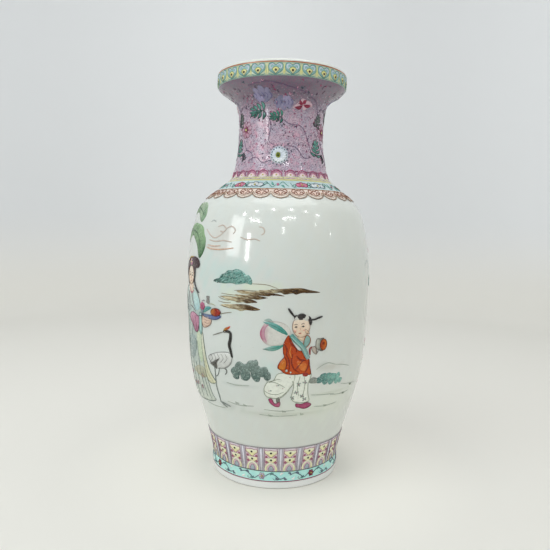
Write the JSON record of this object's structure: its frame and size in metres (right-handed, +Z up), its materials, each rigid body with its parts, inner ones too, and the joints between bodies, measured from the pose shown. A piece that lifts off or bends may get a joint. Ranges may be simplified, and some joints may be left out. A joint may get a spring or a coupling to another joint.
{
  "type": "porcelain vase",
  "caption": "Tall cylindrical porcelain vase with a waisted foot, rounded shoulder, narrow neck and dished mouth, painted in raised enamels.",
  "frame": {"origin": "on the vase's axis, in the plane that the foot rim stands on", "axes": "+Z up along the vase's axis; -Y faces the painted front with the standing child"},
  "size_m": [0.2126, 0.2126, 0.46],
  "materials": {
    "porcelain": "clear cool white glaze, glossy, faintly uneven",
    "slip": "wiped slip under glaze",
    "puce_enamel": "fired enamel line",
    "turquoise_enamel": "opaque fired enamel, glossy",
    "lilac_enamel": "opaque fired enamel",
    "cream_enamel": "opaque fired enamel",
    "yellow_enamel": "translucent fired enamel",
    "pink_enamel": "opaque fired enamel with fine incised scrolls",
    "green_enamel": "opaque fired enamel",
    "coral_enamel": "thin iron-red line"
  },
  "bodies": {
    "root": {"foot_ring": "porcelain", "base_plate": "porcelain", "lower_body": "porcelain", "upper_body": "porcelain", "shoulder": "porcelain", "neck": "porcelain", "mouth": "porcelain", "base_fillet": "slip", "belly_seam": "slip", "shoulder_seam": "slip", "neck_seam": "slip", "mouth_seam": "slip", "foot_line_enamel": "puce_enamel", "foot_scroll_enamel": "turquoise_enamel", "lappet_enamel": "lilac_enamel", "ruyi_enamel": "cream_enamel", "floral_enamel": "turquoise_enamel", "yellow_line_enamel": "yellow_enamel", "neck_arch_enamel": "pink_enamel", "neck_ground_enamel": "pink_enamel", "rim_border_enamel": "green_enamel", "rim_line_enamel": "coral_enamel"}
  },
  "joints": []
}
